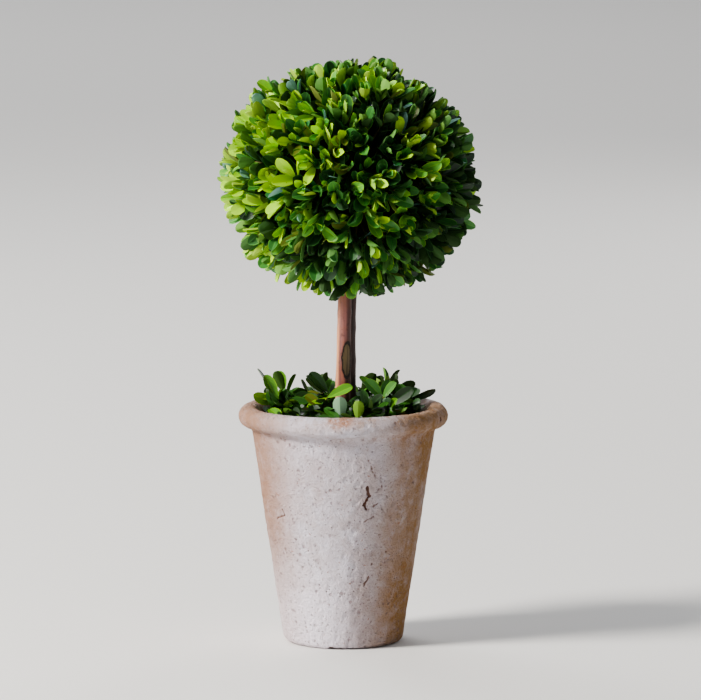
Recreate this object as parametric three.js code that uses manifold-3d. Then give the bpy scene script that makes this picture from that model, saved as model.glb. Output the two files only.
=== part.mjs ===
// Box topiary ball: a clipped ball of box leaves on two slim stems, in a tapered pot with a rolled rim.
// The pot is filled to just under its rim, and loose box sprigs cover the filling round the stems.
// Millimetres, +Z up. The origin is the centre of the pot's flat underside. Heights on the plant are
// measured from its ground, which is just clear of the top of the filling.
import * as THREE from "three";
import { ConvexGeometry } from "three/addons/geometries/ConvexGeometry.js";
import { mergeVertices } from "three/addons/utils/BufferGeometryUtils.js";
import Module from "manifold-3d";

// Pot: a cone frustum with a rounded bottom edge and a rolled rim
const POT_SIDES = 44;
const FOOT_RADIUS = 41.6; // outside, where the bottom edge has turned up
const FOOT_ROUNDING = 5;
const NECK_RADIUS = 62.8; // outside, right under the rim
const NECK_HEIGHT = 146.3;
const RIM_RADIUS = 64.9; // circle that the rolled rim is centred on
const RIM_HEIGHT = 157;
const RIM_HALF_WIDTH = 7.4;
const RIM_HALF_HEIGHT = 7.2;
const WALL = 7;
const FLOOR = 12;

// Filling, and the clear gap that pieces which touch keep
const FILL_TOP = 153.8;
const GAP = 0.3;
const GROUND = FILL_TOP + GAP;

// Stems: each leans and bows from its foot on the ground to its tip inside the ball
const STEM_SIDES = 10;
const STEM_RINGS = 12;
const STEM_LENGTH = 150;
const FLARE = 1.1; // how much wider a stem is at its foot
const FLARE_HEIGHT = 7;
const FRONT_STEM = { foot: [-0.7, -4.6], tip: [2.8, -3.4], bow: [-0.3, 0.4], radii: [5.4, 4.4] };
const BACK_STEM = { foot: [4.6, 8.4], tip: [10, 7.2], bow: [-2.6, -0.5], radii: [4.7, 4.0] };

// Long oval scar where a side branch was cut from the front stem
const SCAR_HEIGHT = 42;
const SCAR_HALF_LENGTH = 12;
const SCAR_HALF_WIDTH = 2.6;
const SCAR_DEPTH = 1.1;
const SCAR_TURN = 17; // degrees from straight ahead, towards +X

// Ball: leaf tips reach this ellipsoid, and a smaller core carries the twigs
const BALL_CENTRE = new THREE.Vector3(5.2, 0, 166);
const BALL_REACH = new THREE.Vector3(92, 92, 84);
const CORE_SHARE = 0.785;
const CORE_DETAIL = 3;
const FORK_SHARE = 0.45; // of the ball's half height: how far up and down the inner stem the twigs start
const BALL_TWIGS = 84;
const TWIG_STRAY = 0.16;

// Twigs and leaves. The sizes of a leaf are its lengths, its width as a share of that and the height of its
// rib. Its root is sunk in what carries it. Spread is the degrees between a twig and the leaf that ends it,
// and between a twig and its lowest pair.
const LEAVES_PER_TWIG = 5;
const TWIG_RADIUS = 1.5;
const TWIG_SUNK = 4;
const LEAF_ASIDE = 3.2; // how far from its twig a side leaf comes out
const LEAF_ROOM = 6; // leaves whose ribs would come closer than this are skipped
const LEAF_CLEARANCE = 0.9; // between a leaf and a stem
const PAIR_STEP = 14; // degrees less spread for the next pair out
const TURN_STRAY = 0.6; // radians
const TILT_STRAY = 20; // degrees
const SHORTEST = 0.6; // a leaf that would leave its mass is cut back as far as this share of its length
const BALL_LEAF = { length: [23, 29], width: 0.55, rib: 1.5, sunk: 5, spread: [8, 46], twig: 5 };
const POT_LEAF = { length: [18, 24], width: 0.5, rib: 1.4, sunk: 3, spread: [10, 52], twig: 13 };

// Bed of leaves on the filling, with sprigs that stand up from it
const BED_RADIUS = 55.6;
const BED_EDGE_HEIGHT = 2.5;
const BED_MIDDLE_HEIGHT = 8;
const SPRIGS = 26;
const SPRIG_ROOM = 13;
const SPRIG_TILT = [25, 58]; // degrees
const SPRIG_TURN = 2.4; // radians, about straight out
const SPRIG_REACH = 67; // no leaf goes further out than this, or higher than the next
const SPRIG_TOP = 31;
const RIM_CLEARANCE = 1.5;
// The sprigs that stand over the front of the rim: x, y, the way each leans in degrees from +X, and its tilt
const FRONT_SPRIGS = [
  [-42, -13, 188, 46],
  [-17, 7, 120, 25],
  [-17, -31, 5, 60],
  [-3, -43, 250, 20],
  [10, -44, 300, 28],
  [21, -8, 55, 28],
  [33, -24, 340, 45],
  [43, 1, 5, 62],
];

const SLIVER = 0.05; // a face goes if the skin moves less than this without it
const GOLDEN_ANGLE = Math.PI * (3 - Math.sqrt(5));
const UP = new THREE.Vector3(0, 0, 1);
const radians = THREE.MathUtils.degToRad;
const mix = THREE.MathUtils.lerp;

const wasm = await Module();
wasm.setup();

// Random numbers from 0 to 1 that are the same for the same seed
function seeded(seed) {
  let state = (seed * 2654435761) >>> 0;
  return () => {
    state = (Math.imul(1664525, state) + 1013904223) >>> 0;
    return state / 4294967296;
  };
}

// Solid of a closed geometry, and geometry of a solid
function solidOf(geometry) {
  const bare = geometry.clone();
  bare.deleteAttribute("normal");
  bare.deleteAttribute("uv");
  const merged = mergeVertices(bare, 1e-3);
  return new wasm.Manifold(
    new wasm.Mesh({
      numProp: 3,
      vertProperties: new Float32Array(merged.attributes.position.array),
      triVerts: new Uint32Array(merged.index.array),
    }),
  );
}

function geometryOf(solid) {
  const mesh = solid.getMesh();
  const geometry = new THREE.BufferGeometry();
  geometry.setAttribute("position", new THREE.BufferAttribute(mesh.vertProperties, 3));
  geometry.setIndex(new THREE.BufferAttribute(mesh.triVerts, 1));
  geometry.computeVertexNormals();
  return geometry;
}

// The outer skin of the largest piece: slivers, loose scraps and sealed hollows are dropped
function largestPiece(solid) {
  const shells = solidOf(geometryOf(solid.simplify(SLIVER))).decompose();
  const largest = shells.reduce((a, b) => (b.volume() > a.volume() ? b : a));
  return shells.length > 1 ? largestPiece(largest) : largest;
}

// Closed surface turned round the Z axis from (radius, height) points
function lathe(profile, sides) {
  const points = profile.map(([r, z]) => new THREE.Vector2(r, z));
  return new THREE.LatheGeometry(points, sides).rotateX(Math.PI / 2);
}

// Points of an upright ellipse's arc in the (radius, height) plane, angles in degrees from straight out
function arc(r, z, halfWidth, halfHeight, from, to, steps) {
  return Array.from({ length: steps + 1 }, (_, i) => {
    const angle = radians(mix(from, to, i / steps));
    return [r + halfWidth * Math.cos(angle), z + halfHeight * Math.sin(angle)];
  });
}

// Pot and filling
function innerRadius(z) {
  const rimInside = RIM_RADIUS - RIM_HALF_WIDTH;
  const neckInside = NECK_RADIUS - WALL;
  if (z > NECK_HEIGHT) {
    return mix(neckInside, rimInside, (z - NECK_HEIGHT) / (RIM_HEIGHT - NECK_HEIGHT));
  }
  return mix(FOOT_RADIUS - WALL, neckInside, (z - FOOT_ROUNDING) / (NECK_HEIGHT - FOOT_ROUNDING));
}

function potGeometry() {
  const footCentre = FOOT_RADIUS - FOOT_ROUNDING;
  return lathe(
    [
      [0, 0],
      ...arc(footCentre, FOOT_ROUNDING, FOOT_ROUNDING, FOOT_ROUNDING, -90, -8, 3),
      [NECK_RADIUS, NECK_HEIGHT],
      ...arc(RIM_RADIUS, RIM_HEIGHT, RIM_HALF_WIDTH, RIM_HALF_HEIGHT, -92, 180, 10),
      [innerRadius(NECK_HEIGHT), NECK_HEIGHT],
      [innerRadius(FLOOR), FLOOR],
      [0, FLOOR],
    ],
    POT_SIDES,
  );
}

function fillGeometry() {
  const bottom = FLOOR + GAP;
  const levels = [bottom, NECK_HEIGHT, FILL_TOP];
  const side = levels.map((z) => [innerRadius(z) - GAP, z]);
  return lathe([[0, bottom], ...side, [0, FILL_TOP]], POT_SIDES);
}

// Stems
function stemCentre(stem, z) {
  const t = z / STEM_LENGTH;
  const bow = Math.sin(Math.PI * THREE.MathUtils.clamp(t, 0, 1));
  const x = mix(stem.foot[0], stem.tip[0], t) + stem.bow[0] * bow;
  const y = mix(stem.foot[1], stem.tip[1], t) + stem.bow[1] * bow;
  return new THREE.Vector3(x, y, z);
}

function stemRadius(stem, z) {
  const flare = FLARE * Math.exp(-Math.max(z, 0) / FLARE_HEIGHT);
  return mix(stem.radii[0], stem.radii[1], z / STEM_LENGTH) + flare;
}

// A stem, or with some extra radius and a longer tip the space that another piece leaves for it
function stemSolid(stem, extra) {
  const profile = [[0, -extra]];
  for (let i = 0; i <= STEM_RINGS; i++) {
    const z = mix(-extra, STEM_LENGTH + extra, (i / STEM_RINGS) ** 1.3); // closer together at the flare
    profile.push([stemRadius(stem, z) + extra, z]);
  }
  profile.push([0, STEM_LENGTH + extra]);
  const geometry = lathe(profile, STEM_SIDES);
  const place = geometry.attributes.position;
  for (let i = 0; i < place.count; i++) {
    const centre = stemCentre(stem, place.getZ(i));
    place.setX(i, place.getX(i) + centre.x);
    place.setY(i, place.getY(i) + centre.y);
  }
  return solidOf(geometry);
}

function frontStemSolid() {
  const centre = stemCentre(FRONT_STEM, SCAR_HEIGHT);
  const radius = stemRadius(FRONT_STEM, SCAR_HEIGHT);
  const turn = radians(SCAR_TURN);
  const cutter = new THREE.SphereGeometry(1, 10, 8).scale(SCAR_HALF_WIDTH, SCAR_DEPTH, SCAR_HALF_LENGTH);
  cutter.rotateZ(turn);
  cutter.translate(centre.x + radius * Math.sin(turn), centre.y - radius * Math.cos(turn), SCAR_HEIGHT);
  return stemSolid(FRONT_STEM, 0).subtract(solidOf(cutter));
}

// How far a point is from the skin of the nearer stem, in the plane across it
function clearOfStems(point) {
  if (point.z > STEM_LENGTH) return Infinity;
  const toSkin = [FRONT_STEM, BACK_STEM].map((stem) => {
    const centre = stemCentre(stem, point.z);
    return point.distanceTo(centre) - stemRadius(stem, point.z);
  });
  return Math.min(...toSkin);
}

// The largest piece of a mass, cut clear of both stems
function clearedMass(parts) {
  const [front, back] = [FRONT_STEM, BACK_STEM].map((stem) => stemSolid(stem, 1.2 * GAP));
  return largestPiece(wasm.Manifold.union(parts).subtract(front).subtract(back));
}

// Leaves and twigs. A leaf is a thin five-cornered plate with a pointed root, a blunt tip and a raised rib.
function leafCorners(kind, length, root, direction, faceUp) {
  const across = new THREE.Vector3().crossVectors(direction, faceUp).normalize();
  const face = new THREE.Vector3().crossVectors(across, direction);
  const corner = (along, aside, raised) =>
    root
      .clone()
      .addScaledVector(direction, along * length)
      .addScaledVector(across, aside * kind.width * length)
      .addScaledVector(face, raised * kind.rib);
  return {
    root: root.clone(),
    left: corner(0.52, -0.5, 0),
    right: corner(0.52, 0.5, 0),
    tipLeft: corner(0.96, -0.2, -0.8),
    tipRight: corner(0.96, 0.2, -0.8),
    rib: corner(0.46, 0, 1),
  };
}

function leafSolid(corners) {
  return solidOf(new ConvexGeometry(Object.values(corners)));
}

function twigSolid(foot, end) {
  const along = end.clone().sub(foot);
  const geometry = new THREE.CylinderGeometry(0.7 * TWIG_RADIUS, TWIG_RADIUS, along.length(), 3);
  geometry.rotateX(Math.PI / 2);
  geometry.applyQuaternion(new THREE.Quaternion().setFromUnitVectors(UP, along.normalize()));
  geometry.translate(...foot.clone().lerp(end, 0.5));
  return solidOf(geometry);
}

// Direction that leans from an axis by tilt, towards turn round that axis
function leaning(axis, tilt, turn) {
  const side = Math.abs(axis.z) > 0.9 ? new THREE.Vector3(1, 0, 0) : UP;
  const first = new THREE.Vector3().crossVectors(axis, side).normalize();
  const second = new THREE.Vector3().crossVectors(axis, first);
  const out = first.multiplyScalar(Math.cos(turn)).addScaledVector(second, Math.sin(turn));
  return axis.clone().multiplyScalar(Math.cos(tilt)).addScaledVector(out, Math.sin(tilt)).normalize();
}

// Leaves round a twig: pairs at right angles to the pair before, then one leaf that ends the twig.
// A leaf that would pass its mass's reach is shorter.
function leavesOnTwig(kind, foot, along, reaches, random) {
  const start = random() * Math.PI;
  const leaves = [];
  for (let k = 0; k < LEAVES_PER_TWIG; k++) {
    const last = k === LEAVES_PER_TWIG - 1;
    const pair = Math.floor(k / 2);
    const turn = start + (pair * Math.PI) / 2 + (k % 2) * Math.PI + (random() - 0.5) * TURN_STRAY;
    const spread = last ? kind.spread[0] : kind.spread[1] - PAIR_STEP * pair;
    const tilt = radians(spread + (random() - 0.5) * TILT_STRAY);
    const direction = leaning(along, tilt, turn);
    const place = foot.clone();
    if (last) {
      place.addScaledVector(along, kind.twig - kind.sunk);
    } else {
      place.addScaledVector(leaning(along, Math.PI / 2, turn), LEAF_ASIDE + pair);
      place.addScaledVector(direction, -kind.sunk);
    }
    const full = mix(kind.length[0], kind.length[1], random());
    let leaf = leafCorners(kind, full, place, direction, along);
    for (let share = 0.95; share > SHORTEST && !reaches(leaf); share -= 0.05) {
      leaf = leafCorners(kind, full * share, place, direction, along);
    }
    leaves.push(leaf);
  }
  return leaves;
}

// A twig from its foot with the leaves that fit and that stay clear of every leaf already taken
function sprigParts(kind, foot, along, fits, taken, random) {
  const sunkFoot = foot.clone().addScaledVector(along, -TWIG_SUNK);
  const parts = [twigSolid(sunkFoot, foot.clone().addScaledVector(along, kind.twig))];
  for (const leaf of leavesOnTwig(kind, foot, along, fits, random)) {
    const tip = leaf.tipLeft.clone().lerp(leaf.tipRight, 0.5);
    const points = [0.45, 0.75, 1].map((share) => leaf.root.clone().lerp(tip, share));
    const crowded = points.some((p) => taken.some((q) => p.distanceTo(q) < LEAF_ROOM));
    if (crowded || !fits(leaf)) continue;
    taken.push(...points);
    parts.push(leafSolid(leaf));
  }
  return parts.length > 1 ? parts : [];
}

// Ball
function ballDirection(i, random) {
  const height = 1 - (2 * (i + 0.5)) / BALL_TWIGS;
  const around = i * GOLDEN_ANGLE;
  const ring = Math.sqrt(1 - height * height);
  const even = new THREE.Vector3(ring * Math.cos(around), ring * Math.sin(around), height);
  const stray = new THREE.Vector3(random() - 0.5, random() - 0.5, random() - 0.5);
  return even.addScaledVector(stray, TWIG_STRAY).normalize();
}

function fitsBall(leaf) {
  return Object.values(leaf).every((corner) => {
    const share = corner.clone().sub(BALL_CENTRE).divide(BALL_REACH).length();
    return share <= 1 && clearOfStems(corner) > LEAF_CLEARANCE;
  });
}

function ballSolid() {
  const coreReach = BALL_REACH.clone().multiplyScalar(CORE_SHARE);
  const core = new THREE.IcosahedronGeometry(1, CORE_DETAIL).scale(...coreReach);
  const parts = [solidOf(core.translate(...BALL_CENTRE))];
  const taken = [];
  for (let i = 0; i < BALL_TWIGS; i++) {
    const random = seeded(1000 + i);
    const direction = ballDirection(i, random);
    const skin = direction.clone().multiply(coreReach).add(BALL_CENTRE);
    const fork = BALL_CENTRE.clone().addScaledVector(UP, direction.z * BALL_REACH.z * FORK_SHARE);
    const along = skin.clone().sub(fork).normalize();
    if (clearOfStems(skin) < 4 * TWIG_RADIUS) continue;
    parts.push(...sprigParts(BALL_LEAF, skin, along, fitsBall, taken, random));
  }
  return clearedMass(parts);
}

// Bed and sprigs in the pot
function bedHeight(r) {
  return mix(BED_MIDDLE_HEIGHT, BED_EDGE_HEIGHT, (r / BED_RADIUS) ** 2);
}

function fitsPot(leaf) {
  const side = leaf.left.clone().lerp(leaf.tipLeft, 0.5);
  return [leaf.left, leaf.right, leaf.tipLeft, leaf.tipRight, side].every((p) => {
    const r = Math.hypot(p.x, p.y);
    const aboveRim = p.z + GROUND - RIM_HEIGHT;
    const besideRim = (r - RIM_RADIUS) / (RIM_HALF_WIDTH + RIM_CLEARANCE);
    const offRim = Math.hypot(besideRim, aboveRim / (RIM_HALF_HEIGHT + RIM_CLEARANCE)) > 1;
    const inPot = aboveRim > 0 || r < innerRadius(p.z + GROUND) - 1;
    const inReach = r < SPRIG_REACH && p.z > 1 && p.z < SPRIG_TOP;
    return offRim && inPot && inReach && clearOfStems(p) > LEAF_CLEARANCE;
  });
}

// Where each sprig stands: the front ones first, then even ones that keep away from those and from the stems
function sprigPlaces() {
  const onBed = (x, y) => new THREE.Vector3(x, y, bedHeight(Math.hypot(x, y)));
  const places = FRONT_SPRIGS.map(([x, y, turn, tilt]) => {
    return { foot: onBed(x, y), turn: radians(turn), tilt: radians(tilt) };
  });
  for (let i = 0; i < SPRIGS; i++) {
    const random = seeded(4000 + i);
    const r = (BED_RADIUS - SPRIG_ROOM / 2) * Math.sqrt((i + 0.5) / SPRIGS);
    const around = i * GOLDEN_ANGLE;
    const foot = onBed(r * Math.cos(around), r * Math.sin(around));
    const near = places.some((other) => other.foot.distanceTo(foot) < SPRIG_ROOM);
    if (near || clearOfStems(foot) < 4 * TWIG_RADIUS) continue;
    const tilt = radians(mix(SPRIG_TILT[0], SPRIG_TILT[1], random()));
    places.push({ foot, turn: around + (random() - 0.5) * SPRIG_TURN, tilt });
  }
  return places;
}

function bedSolid() {
  const top = [1, 0.75, 0.5, 0.25].map((share) => [share * BED_RADIUS, bedHeight(share * BED_RADIUS)]);
  const dome = lathe([[0, 0], [BED_RADIUS, 0], ...top, [0, BED_MIDDLE_HEIGHT]], POT_SIDES / 2);
  const parts = [solidOf(dome)];
  const taken = [];
  for (const [i, { foot, turn, tilt }] of sprigPlaces().entries()) {
    const out = new THREE.Vector3(Math.cos(turn), Math.sin(turn), 0);
    const along = out.multiplyScalar(Math.sin(tilt)).addScaledVector(UP, Math.cos(tilt));
    parts.push(...sprigParts(POT_LEAF, foot, along, fitsPot, taken, seeded(5000 + i)));
  }
  return clearedMass(parts);
}

const finishes = {
  pot: { color: 0xcdbfb2, roughness: 0.92, metalness: 0 },
  filling: { color: 0x4a3a28, roughness: 1, metalness: 0 },
  bark: { color: 0x8a5540, roughness: 0.7, metalness: 0 },
  leaf: { color: 0x3f7a16, roughness: 0.45, metalness: 0 },
};

const topiary = new THREE.Group();
const plant = new THREE.Group();
plant.position.z = GROUND;
topiary.add(plant);

function addPiece(parent, name, geometry, finish) {
  const mesh = new THREE.Mesh(geometry, new THREE.MeshStandardMaterial(finishes[finish]));
  mesh.name = name;
  parent.add(mesh);
}

addPiece(topiary, "pot", potGeometry(), "pot");
addPiece(topiary, "pot_filling", fillGeometry(), "filling");
addPiece(plant, "stem_front", geometryOf(frontStemSolid()), "bark");
addPiece(plant, "stem_back", geometryOf(stemSolid(BACK_STEM, 0)), "bark");
addPiece(plant, "ball_foliage", geometryOf(ballSolid()), "leaf");
addPiece(plant, "pot_sprigs", geometryOf(bedSolid()), "leaf");

export default topiary;
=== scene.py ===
# Box topiary ball: a clipped ball of box leaves on two slim stems, in a whitewashed clay pot.
# Sizes are millimetres until a piece is finished, then metres. +Z is up and the pot stands on z = 0.
import math

import bmesh
import bpy
from mathutils import Matrix, Vector, noise
import numpy as np


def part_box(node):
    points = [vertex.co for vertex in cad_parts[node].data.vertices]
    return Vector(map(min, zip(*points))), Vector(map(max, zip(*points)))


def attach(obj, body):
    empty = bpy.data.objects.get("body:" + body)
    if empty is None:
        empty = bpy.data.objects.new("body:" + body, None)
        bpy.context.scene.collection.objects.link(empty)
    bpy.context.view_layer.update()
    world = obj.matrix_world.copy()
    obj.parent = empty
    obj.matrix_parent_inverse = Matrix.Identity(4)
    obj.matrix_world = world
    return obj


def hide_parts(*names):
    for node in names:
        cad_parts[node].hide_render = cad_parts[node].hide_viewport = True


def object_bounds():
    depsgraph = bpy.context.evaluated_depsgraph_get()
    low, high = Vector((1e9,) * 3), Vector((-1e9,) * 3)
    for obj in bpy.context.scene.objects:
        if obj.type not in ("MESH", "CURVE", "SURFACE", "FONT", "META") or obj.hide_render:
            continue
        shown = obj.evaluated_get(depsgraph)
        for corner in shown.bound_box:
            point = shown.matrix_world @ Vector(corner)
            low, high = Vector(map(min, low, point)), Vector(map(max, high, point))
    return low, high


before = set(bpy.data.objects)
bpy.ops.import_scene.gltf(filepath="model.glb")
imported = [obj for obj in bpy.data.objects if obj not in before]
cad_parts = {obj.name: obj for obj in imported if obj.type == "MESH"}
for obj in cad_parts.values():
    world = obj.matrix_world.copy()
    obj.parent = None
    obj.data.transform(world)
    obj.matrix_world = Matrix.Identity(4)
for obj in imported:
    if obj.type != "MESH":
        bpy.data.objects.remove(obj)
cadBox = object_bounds()
scene = bpy.context.scene

metre = 1000  # millimetres
fullTurn = 2 * math.pi
quarterTurn = math.pi / 2
goldenAngle = math.pi * (3 - math.sqrt(5))
up = Vector((0, 0, 1))


# Random numbers from 0 to 1 that are the same for the same seed
def seeded(seed):
    state = (seed * 2654435761) & 0xFFFFFFFF

    def draw():
        nonlocal state
        state = (1664525 * state + 1013904223) & 0xFFFFFFFF
        return state / 4294967296

    return draw


# Random number around 0, as wide as the swing
def swung(draw, swing):
    return (draw() - 0.5) * swing


def between(ends, share):
    return ends[0] + (ends[1] - ends[0]) * share


def smoothStep(value, low, high):
    share = min(max((value - low) / (high - low), 0), 1)
    return share * share * (3 - 2 * share)


# Direction that leans from an axis by tilt, towards turn round that axis
def leaning(axis, tilt, turn):
    side = Vector((1, 0, 0)) if abs(axis.z) > 0.9 else up
    first = axis.cross(side).normalized()
    second = axis.cross(first)
    out = first * math.cos(turn) + second * math.sin(turn)
    return (axis * math.cos(tilt) + out * math.sin(tilt)).normalized()


def flatWay(angle):
    return Vector((math.cos(angle), math.sin(angle), 0))


def boxOf(node):
    low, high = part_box(node)
    return low * metre, high * metre


# Makes the object of a finished mesh, puts it under the root and hides the part that it stands for
def register(mesh, materials, node):
    for material in materials:
        mesh.materials.append(material)
    mesh.shade_smooth()
    piece = bpy.data.objects.new(mesh.name, mesh)
    scene.collection.objects.link(piece)
    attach(piece, "root")
    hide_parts(node)
    return piece


def meshFromBmesh(name, bm):
    mesh = bpy.data.meshes.new(name)
    bm.to_mesh(mesh)
    bm.free()
    return mesh


def pieceFromBmesh(name, bm, material, slot, node):
    bmesh.ops.scale(bm, vec=Vector((1, 1, 1)) / metre, verts=bm.verts)
    return register(meshFromBmesh(name, bm), [material], node)


# Closed shape that a profile from axis to axis sweeps round the Z axis
def spun(points, steps):
    bm = bmesh.new()
    verts = [bm.verts.new(point) for point in points]
    edges = [bm.edges.new(pair) for pair in zip(verts, verts[1:])]
    bmesh.ops.spin(
        bm, geom=verts + edges, cent=(0, 0, 0), axis=up, angle=fullTurn,
        steps=steps, use_merge=True, use_duplicate=False,
    )
    bmesh.ops.remove_doubles(bm, verts=bm.verts, dist=0.01)
    bmesh.ops.recalc_face_normals(bm, faces=bm.faces)
    return bm


# Sets a socket to a value, or links it when the value is the output of a node
def feed(tree, socket, value):
    if isinstance(value, bpy.types.NodeSocket):
        tree.links.new(value, socket)
    else:
        socket.default_value = value


def addNode(tree, kind, inputs=None, **settings):
    node = tree.nodes.new(kind)
    for name, value in settings.items():
        setattr(node, name, value)
    for name, value in (inputs or {}).items():
        feed(tree, node.inputs[name], value)
    return node


def noiseAt(tree, vector, scale, detail=3.0, roughness=0.55):
    inputs = {"Vector": vector, "Scale": scale, "Detail": detail, "Roughness": roughness}
    return addNode(tree, "ShaderNodeTexNoise", inputs).outputs["Fac"]


def rangeOf(tree, value, low, high, outLow=0.0, outHigh=1.0):
    inputs = {"Value": value, "From Min": low, "From Max": high, "To Min": outLow, "To Max": outHigh}
    return addNode(tree, "ShaderNodeMapRange", inputs, interpolation_type="SMOOTHSTEP").outputs["Result"]


def mathOf(tree, operation, first, second):
    return addNode(tree, "ShaderNodeMath", {0: first, 1: second}, operation=operation).outputs["Value"]


def vectorMathOf(tree, operation, first, second):
    inputs = {0: first, 1: second}
    return addNode(tree, "ShaderNodeVectorMath", inputs, operation=operation).outputs["Vector"]


def total(tree, first, second):
    return mathOf(tree, "ADD", first, second)


def product(tree, first, *others):
    for other in others:
        first = mathOf(tree, "MULTIPLY", first, other)
    return first


def mapped(tree, vector, scale, location=(0, 0, 0)):
    inputs = {"Vector": vector, "Location": location, "Scale": scale}
    return addNode(tree, "ShaderNodeMapping", inputs).outputs["Vector"]


# Mixes two colours, which are inputs 6 and 7 and output 2 of the node
def mixOf(tree, factor, first, second):
    inputs = {0: factor, 6: first, 7: second}
    return addNode(tree, "ShaderNodeMix", inputs, data_type="RGBA", clamp_factor=True).outputs[2]


# Lays colours over one another: each has a mask and the share of it that shows
def layered(tree, colour, layers):
    for mask, share, over in layers:
        colour = mixOf(tree, product(tree, mask, share), colour, over)
    return colour


def objectPoint(tree):
    return addNode(tree, "ShaderNodeTexCoord").outputs["Object"]


def axesOf(tree, vector):
    return addNode(tree, "ShaderNodeSeparateXYZ", {"Vector": vector}).outputs


def attributeOf(tree, name):
    return addNode(tree, "ShaderNodeAttribute", attribute_name=name).outputs["Fac"]


# Screen values from 0 to 255 to the linear colour that sockets hold
def rgb(red, green, blue):
    linear = [((c / 255 + 0.055) / 1.055) ** 2.4 if c > 10 else c / 255 / 12.92 for c in (red, green, blue)]
    return (*linear, 1.0)


def newMaterial(name, roughness=0.5, specular=0.5):
    material = bpy.data.materials.new(name)
    material.use_nodes = True
    tree = material.node_tree
    shader = tree.nodes["Principled BSDF"]
    shader.inputs["Roughness"].default_value = roughness
    shader.inputs["Specular IOR Level"].default_value = specular
    return material, tree, shader


def plainMaterial(name, colour, roughness, specular=0.3):
    material, _, shader = newMaterial(name, roughness, specular)
    shader.inputs["Base Color"].default_value = colour
    return material


def setSurface(tree, shader, colour, height, strength, depth):
    feed(tree, shader.inputs["Base Color"], colour)
    bump = addNode(tree, "ShaderNodeBump", {"Strength": strength, "Distance": depth, "Height": height})
    feed(tree, shader.inputs["Normal"], bump.outputs["Normal"])


# Blotches, specks and grain that clay, bark, moss and filling share
def makeMottleGroup():
    group = bpy.data.node_groups.new("naturalMottle", "ShaderNodeTree")
    sockets = group.interface
    sockets.new_socket("Vector", in_out="INPUT", socket_type="NodeSocketVector")
    for name in ("Blotch Scale", "Grain Scale"):
        sockets.new_socket(name, in_out="INPUT", socket_type="NodeSocketFloat")
    for name in ("Blotch", "Speck", "Grain"):
        sockets.new_socket(name, in_out="OUTPUT", socket_type="NodeSocketFloat")
    inside = group.nodes.new("NodeGroupInput").outputs
    outside = group.nodes.new("NodeGroupOutput").inputs
    blotch = noiseAt(group, inside["Vector"], inside["Blotch Scale"], 5.0, 0.6)
    grain = noiseAt(group, inside["Vector"], inside["Grain Scale"], 4.0, 0.65)
    speckScale = product(group, inside["Grain Scale"], 0.45)
    speck = noiseAt(group, inside["Vector"], speckScale, 2.0, 0.5)
    feed(group, outside["Blotch"], rangeOf(group, blotch, 0.38, 0.64))
    feed(group, outside["Speck"], rangeOf(group, speck, 0.57, 0.68))
    feed(group, outside["Grain"], grain)
    return group


mottleGroup = makeMottleGroup()


def mottle(tree, vector, blotchScale, grainScale):
    inputs = {"Vector": vector, "Blotch Scale": blotchScale, "Grain Scale": grainScale}
    return addNode(tree, "ShaderNodeGroup", inputs, node_tree=mottleGroup).outputs


print("pot")
potLow, potHigh = boxOf("pot")
pot = {
    "footRadius": 41.6,
    "footRounding": 5,
    "footBand": 8,  # flat ring of the underside next to the rounding
    "footArc": (-90, -8, 9),  # from and to in degrees, and steps
    "neckRadius": 62.8,
    "neckHeight": 146.3,
    "rimHalfWidth": 7.4,
    "rimHalfHeight": 7.2,
    "rimArc": (-92, 180, 44),
    "wall": 7,
    "floor": 12,
    "around": 340,
    "rows": 112,
    # unevenness of the thrown clay, as a fineness and a size, and a fineness and a threshold for dimples
    "wobble": (0.028, 0.35),
    "swells": (0.16, 0.25),
    "dimples": (0.33, 0.08),
}
pot["rimRadius"] = potHigh.x - pot["rimHalfWidth"]
pot["rimHeight"] = potHigh.z - pot["rimHalfHeight"]
pot["taper"] = (pot["neckRadius"] - pot["footRadius"]) / (pot["neckHeight"] - pot["footRounding"])

# Cracks on the front as (x, z) points, each with a half width and a depth
potCracks = [
    ([(17.6, 134.0), (19.1, 129.2), (22.0, 121.5)], 0.6, 0.65),
    ([(25.6, 118.6), (26.6, 115.4), (24.6, 113.6)], 0.6, 0.6),
    ([(16.4, 114.9), (17.8, 108.2), (13.7, 102.6), (16.8, 98.8)], 0.85, 1.5),
    ([(20.2, 101.2), (23.6, 103.6)], 0.7, 0.8),
    ([(20.7, 94.3), (14.0, 90.9)], 0.7, 0.6),
    ([(-41.7, 97.0), (-40.3, 93.1), (-45.3, 89.4)], 0.8, 0.8),
    ([(17.4, 51.6), (13.7, 45.4)], 0.8, 0.8),
]
# Patches of hair cracks as x, z, a radius and a depth
potCrazing = [(24, 104, 17, 0.7), (22, 69, 13, 0.5), (-42, 93, 9, 0.45)]
# Pits as x, z and a radius
potPits = [
    (-24.0, 69.5, 1.1), (29.4, 68.4, 1.3), (6.5, 57.0, 1.0), (19.6, 60.5, 1.2), (-16.4, 45.8, 1.2),
    (-11.5, 41.3, 1.0), (-2.2, 37.9, 1.1), (-19.6, 5.5, 1.2), (24.5, 81.0, 0.9), (-8.0, 87.0, 0.8),
]
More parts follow.
